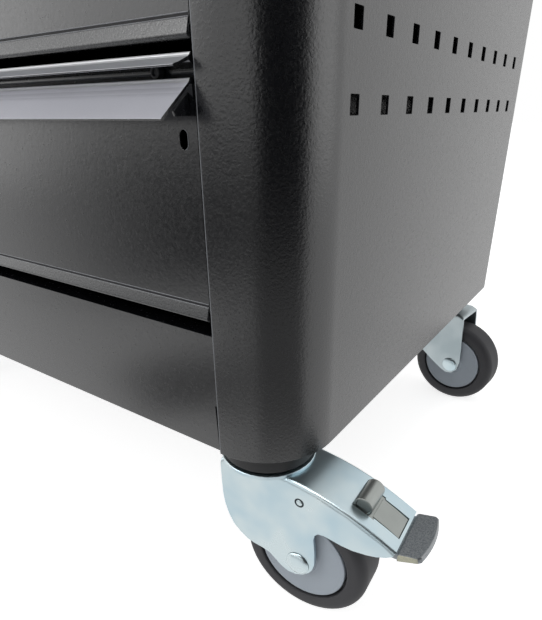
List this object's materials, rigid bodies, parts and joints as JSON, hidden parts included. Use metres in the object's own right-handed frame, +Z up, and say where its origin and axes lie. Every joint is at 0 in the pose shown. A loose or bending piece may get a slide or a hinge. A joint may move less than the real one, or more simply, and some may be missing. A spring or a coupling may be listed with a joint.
{
  "type": "tool cart",
  "caption": "Steel tool cart with drawers under full-width grip strips, perforated sides, a rimmed worktop, a push handle, a central lock, and casters of which one has a brake pedal.",
  "frame": {"origin": "on the floor, under the middle of the bounding box of the whole cart", "axes": "+Z up, the drawer fronts face -Y, the push handle and the swivel casters are at +X"},
  "size_m": [0.7606, 0.4786, 0.9393],
  "materials": {
    "coat_black": "anthracite textured powder coat",
    "coat_handle": "grey metallic powder coat",
    "zinc": "bright zinc plated sheet",
    "steel": "plain steel",
    "tyre_rubber": "dark grey solid rubber",
    "mat_rubber": "black ribbed rubber",
    "rim_plastic": "blue grey nylon",
    "cap_plastic": "black plastic",
    "pedal_cast": "dark grey casting"
  },
  "bodies": {
    "cabinet": {"side_panel_right": "coat_black", "side_panel_left": "coat_black", "runner_wall_right": "steel", "runner_wall_left": "steel", "base_floor": "coat_black", "back_panel": "coat_black", "front_plinth": "coat_black", "top_rail": "coat_black", "worktop_tray": "coat_black", "worktop_mat": "mat_rubber", "push_handle_bar": "coat_black", "push_handle_rosette_front": "coat_black", "push_handle_rosette_rear": "coat_black", "lock_escutcheon": "zinc", "caster_front_right_head": "cap_plastic", "caster_front_right_kingpin": "zinc", "caster_rear_right_head": "cap_plastic", "caster_rear_right_kingpin": "zinc", "caster_front_left_bracket": "zinc", "caster_front_left_axle": "zinc", "caster_rear_left_bracket": "zinc", "caster_rear_left_axle": "zinc"},
    "drawer_1": {"drawer_1_tray": "coat_black", "drawer_1_front": "coat_black", "drawer_1_handle": "coat_handle"},
    "drawer_2": {"drawer_2_tray": "coat_black", "drawer_2_front": "coat_black", "drawer_2_handle": "coat_handle"},
    "drawer_3": {"drawer_3_tray": "coat_black", "drawer_3_front": "coat_black", "drawer_3_handle": "coat_handle"},
    "drawer_4": {"drawer_4_tray": "coat_black", "drawer_4_front": "coat_black", "drawer_4_handle": "coat_handle"},
    "drawer_5": {"drawer_5_tray": "coat_black", "drawer_5_front": "coat_black", "drawer_5_handle": "coat_handle"},
    "drawer_6": {"drawer_6_tray": "coat_black", "drawer_6_front": "coat_black", "drawer_6_handle": "coat_handle"},
    "lock_key_unit": {"lock_barrel": "zinc", "lock_key": "steel", "lock_cam": "steel"},
    "lock_bar_unit": {"lock_bar": "steel"},
    "fork_front_right": {"caster_front_right_fork": "zinc", "caster_front_right_axle": "zinc", "pedal_pin": "zinc"},
    "wheel_front_right": {"caster_front_right_rim": "rim_plastic", "caster_front_right_tyre": "tyre_rubber"},
    "pedal": {"brake_pedal": "pedal_cast"},
    "fork_rear_right": {"caster_rear_right_fork": "zinc", "caster_rear_right_axle": "zinc"},
    "wheel_rear_right": {"caster_rear_right_rim": "rim_plastic", "caster_rear_right_tyre": "tyre_rubber"},
    "wheel_front_left": {"caster_front_left_rim": "rim_plastic", "caster_front_left_tyre": "tyre_rubber"},
    "wheel_rear_left": {"caster_rear_left_rim": "rim_plastic", "caster_rear_left_tyre": "tyre_rubber"}
  },
  "joints": [
    {"name": "drawer_1_slide", "type": "slide", "parent": "cabinet", "child": "drawer_1", "axis": [0, -1, 0], "range_m": [0, 0.3]},
    {"name": "drawer_2_slide", "type": "slide", "parent": "cabinet", "child": "drawer_2", "axis": [0, -1, 0], "range_m": [0, 0.3]},
    {"name": "drawer_3_slide", "type": "slide", "parent": "cabinet", "child": "drawer_3", "axis": [0, -1, 0], "range_m": [0, 0.3]},
    {"name": "drawer_4_slide", "type": "slide", "parent": "cabinet", "child": "drawer_4", "axis": [0, -1, 0], "range_m": [0, 0.3]},
    {"name": "drawer_5_slide", "type": "slide", "parent": "cabinet", "child": "drawer_5", "axis": [0, -1, 0], "range_m": [0, 0.3]},
    {"name": "drawer_6_slide", "type": "slide", "parent": "cabinet", "child": "drawer_6", "axis": [0, -1, 0], "range_m": [0, 0.3]},
    {"name": "lock_turn", "type": "hinge", "parent": "cabinet", "child": "lock_key_unit", "pos_m": [0.21803, -0.2035, 0.877], "axis": [0, -1, 0], "range_deg": [0, 90]},
    {"name": "lock_bar_slide", "type": "slide", "parent": "cabinet", "child": "lock_bar_unit", "axis": [0, 0, 1], "range_m": [0, 0.01131]},
    {"name": "swivel_front_right", "type": "hinge", "parent": "cabinet", "child": "fork_front_right", "pos_m": [0.26073, -0.1654, 0.125], "axis": [0, 0, 1], "continuous": true},
    {"name": "wheel_front_right_roll", "type": "hinge", "parent": "fork_front_right", "child": "wheel_front_right", "pos_m": [0.29618, -0.16342, 0.0478], "axis": [-0.0558, 0.9984, 0], "continuous": true},
    {"name": "brake_pedal_rock", "type": "hinge", "parent": "fork_front_right", "child": "pedal", "pos_m": [0.29687, -0.16338, 0.10174], "axis": [-0.0558, 0.9984, 0], "range_deg": [0, 8]},
    {"name": "swivel_rear_right", "type": "hinge", "parent": "cabinet", "child": "fork_rear_right", "pos_m": [0.25673, 0.2018, 0.125], "axis": [0, 0, 1], "continuous": true},
    {"name": "wheel_rear_right_roll", "type": "hinge", "parent": "fork_rear_right", "child": "wheel_rear_right", "pos_m": [0.29205, 0.19821, 0.0478], "axis": [0.1011, 0.9949, 0], "continuous": true},
    {"name": "wheel_front_left_roll", "type": "hinge", "parent": "cabinet", "child": "wheel_front_left", "pos_m": [-0.33297, -0.1654, 0.0478], "axis": [0, 1, 0], "continuous": true},
    {"name": "wheel_rear_left_roll", "type": "hinge", "parent": "cabinet", "child": "wheel_rear_left", "pos_m": [-0.33297, 0.197, 0.0478], "axis": [0, 1, 0], "continuous": true}
  ],
  "couplings": [
    {"joint": "lock_turn", "follows": "lock_bar_slide", "rad_per_m": 138.84}
  ]
}
